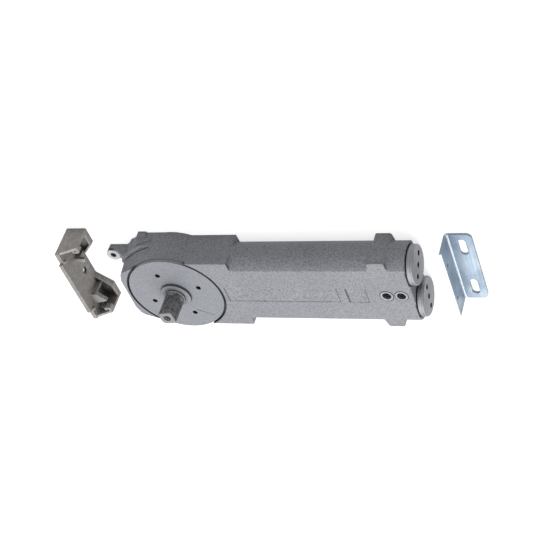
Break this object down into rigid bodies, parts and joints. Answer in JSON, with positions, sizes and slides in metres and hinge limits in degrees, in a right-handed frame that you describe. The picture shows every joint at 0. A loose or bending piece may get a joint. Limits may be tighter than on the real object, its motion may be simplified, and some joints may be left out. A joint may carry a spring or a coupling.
{
  "type": "overhead door closer",
  "caption": "Double-acting door closer for a frame head: two racks turn a square spindle at one end, round spring caps at the other, with a cast end bracket and a slotted angle bracket.",
  "frame": {"origin": "foot of the spindle axis on the housing's flat back", "axes": "+Z along the spindle towards its square end, +X along the body towards the end caps, +Y across the body towards the side with the screw lug"},
  "size_m": [0.3784, 0.0974, 0.0627],
  "materials": {
    "housing_paint": "silver-grey paint on cast iron",
    "cover_paint": "silver-grey paint",
    "rubber": "matt black",
    "seal_rubber": "matt dark",
    "spindle_steel": "dark oxide steel",
    "bearing_bronze": "plain bronze",
    "ground_steel": "ground",
    "ring_plastic": "matt",
    "ball_steel": "polished",
    "spring_steel": "oiled spring wire",
    "cap_steel": "turned and plated",
    "valve_steel": "dark oxide",
    "collar_steel": "plated",
    "bracket_casting": "raw zinc-iron casting, warm grey",
    "zinc_sheet": "bright zinc plating"
  },
  "bodies": {
    "housing": {"housing": "housing_paint", "chamber_cover": "cover_paint", "cover_o_ring": "rubber", "thrust_washer": "bearing_bronze", "lower_bush": "bearing_bronze", "upper_bush": "bearing_bronze", "spindle_seal": "seal_rubber", "closing_spring_a": "spring_steel", "closing_spring_b": "spring_steel", "spring_washers": "ground_steel", "end_cap_a": "cap_steel", "end_cap_b": "cap_steel", "cap_o_rings": "rubber", "valve_collars": "collar_steel", "passage_plug": "valve_steel", "cast_bracket": "bracket_casting", "angle_bracket": "zinc_sheet"},
    "spindle": {"spindle": "spindle_steel"},
    "rack_piston_a": {"rack_piston_a": "ground_steel", "piston_ring_a": "ring_plastic", "check_retainer_a": "bearing_bronze"},
    "rack_piston_b": {"rack_piston_b": "ground_steel", "piston_ring_b": "ring_plastic", "check_retainer_b": "bearing_bronze"},
    "check_ball_a": {"check_ball_a": "ball_steel"},
    "check_ball_b": {"check_ball_b": "ball_steel"},
    "closing_valve": {"closing_valve_screw": "valve_steel", "closing_valve_o_ring": "rubber"},
    "latching_valve": {"latching_valve_screw": "valve_steel", "latching_valve_o_ring": "rubber"}
  },
  "joints": [
    {"name": "spindle_turn", "type": "hinge", "parent": "housing", "child": "spindle", "pos_m": [0, 0, 0.03], "axis": [0, 0, 1], "range_deg": [-105, 105]},
    {"name": "rack_a_slide", "type": "slide", "parent": "housing", "child": "rack_piston_a", "axis": [1, 0, 0], "range_m": [-0.016, 0.016], "stiffness_N_per_m": 4000, "deforming": ["closing_spring_a"]},
    {"name": "rack_b_slide", "type": "slide", "parent": "housing", "child": "rack_piston_b", "axis": [1, 0, 0], "range_m": [-0.016, 0.016], "deforming": ["closing_spring_b"]},
    {"name": "check_ball_a_lift", "type": "slide", "parent": "rack_piston_a", "child": "check_ball_a", "axis": [1, 0, 0], "range_m": [0, 0.001]},
    {"name": "check_ball_b_lift", "type": "slide", "parent": "rack_piston_b", "child": "check_ball_b", "axis": [1, 0, 0], "range_m": [0, 0.001]},
    {"name": "closing_valve_turn", "type": "hinge", "parent": "housing", "child": "closing_valve", "pos_m": [0.199, 0, 0.03], "axis": [0, 0, 1], "range_deg": [-360, 360]},
    {"name": "latching_valve_turn", "type": "hinge", "parent": "housing", "child": "latching_valve", "pos_m": [0.212, 0, 0.03], "axis": [0, 0, 1], "range_deg": [-360, 360]}
  ],
  "couplings": [
    {"joint": "spindle_turn", "follows": "rack_a_slide", "rad_per_m": -114.29},
    {"joint": "rack_b_slide", "follows": "rack_a_slide", "ratio": -1}
  ]
}
